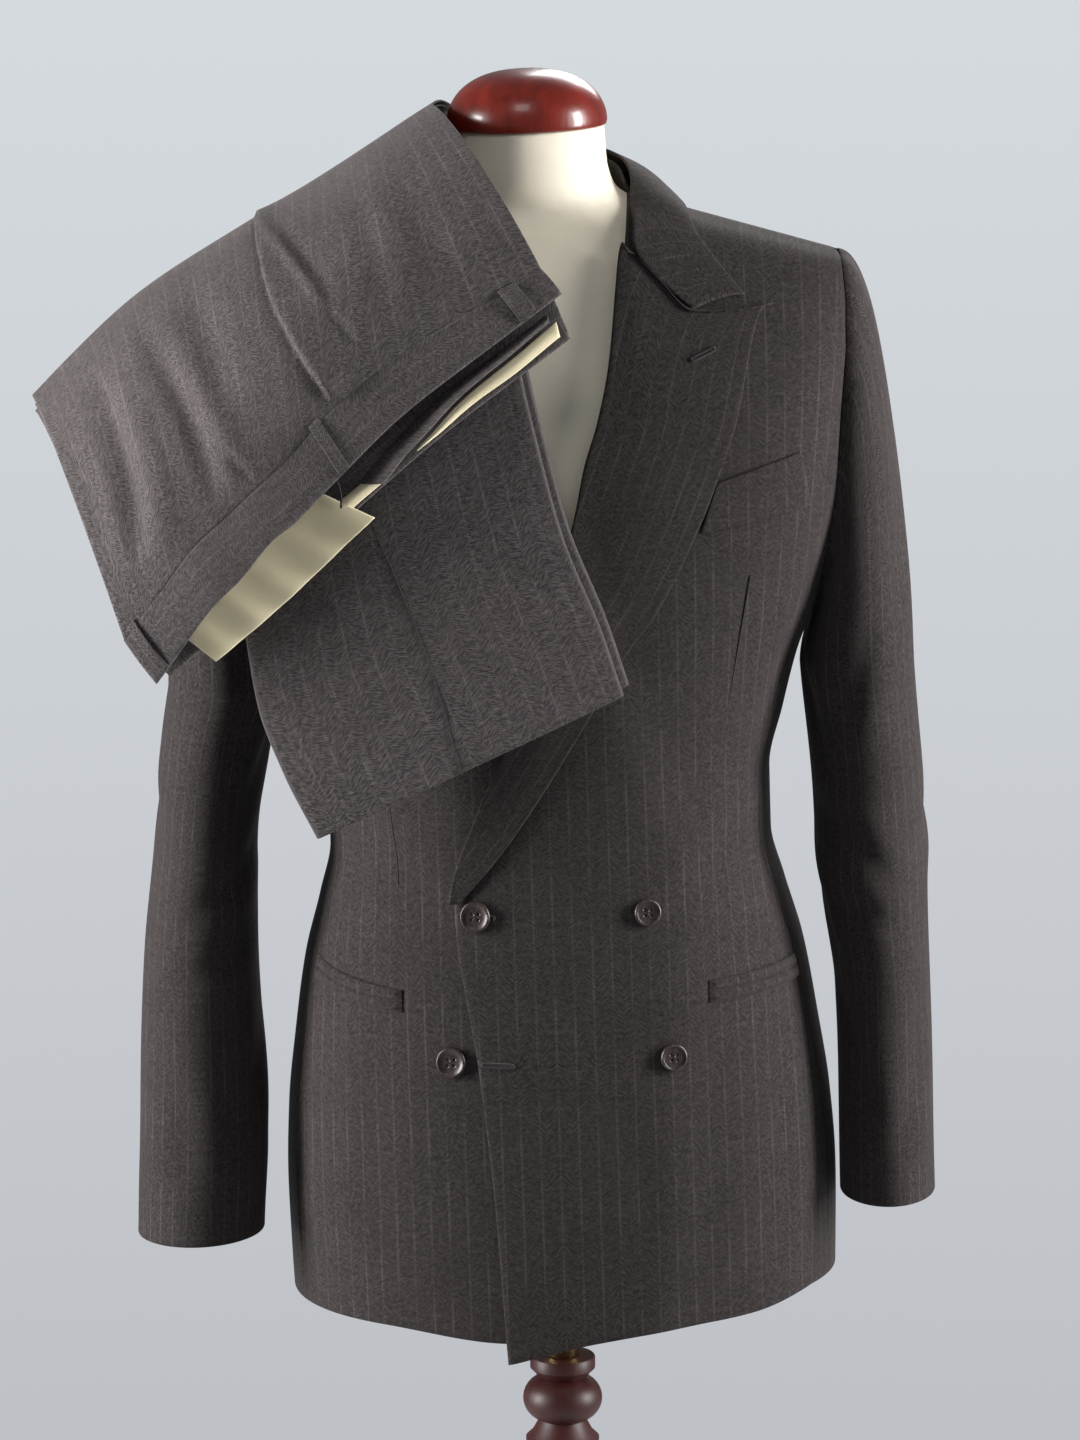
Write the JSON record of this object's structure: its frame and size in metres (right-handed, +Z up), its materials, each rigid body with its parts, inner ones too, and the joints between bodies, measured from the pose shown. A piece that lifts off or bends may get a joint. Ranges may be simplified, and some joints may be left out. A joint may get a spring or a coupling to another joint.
{
  "type": "double-breasted suit on a dress form with its stand",
  "caption": "Charcoal pinstriped double-breasted wool suit: the jacket on a limbless dress form with a turned stand, the pressed trousers slung over its right shoulder.",
  "frame": {"origin": "on the floor, at the centre of the stand's round foot, under the axis of its pole", "axes": "+Z up, -Y the side that the suit faces, +X the wearer's left"},
  "size_m": [0.5788, 0.397, 1.5375],
  "materials": {
    "suiting": "napped herringbone wool with a faint pale pinstripe",
    "trouser_cloth": "the same wool, seen along its stripe",
    "curtain": "plain woven cotton",
    "horn": "polished dark mottle",
    "form_cloth": "plain stretched cotton",
    "cap_wood": "red-brown lacquer",
    "stand_wood": "dark lacquer",
    "brass": "polished"
  },
  "bodies": {
    "root": {"breast_welt": "suiting", "collar_fall": "suiting", "collar_stand": "suiting", "hip_pocket_left": "suiting", "hip_pocket_right": "suiting", "jacket_back_left": "suiting", "jacket_back_right": "suiting", "jacket_front_left": "suiting", "jacket_front_right": "suiting", "jacket_side_left": "suiting", "jacket_side_right": "suiting", "lapel_left": "suiting", "lapel_right": "suiting", "sleeve_left": "suiting", "sleeve_right": "suiting", "trouser_leg_left": "trouser_cloth", "trouser_leg_right": "trouser_cloth", "trousers_inner_layers": "trouser_cloth", "trousers_near_side": "trouser_cloth", "waistband_far": "trouser_cloth", "waistband_near": "trouser_cloth", "waist_curtain": "curtain", "button_lower_left": "horn", "button_lower_right": "horn", "button_upper_left": "horn", "button_upper_right": "horn", "form_torso": "form_cloth", "neck_cap": "cap_wood", "stand_column": "stand_wood", "stand_rod": "brass"}
  },
  "joints": []
}
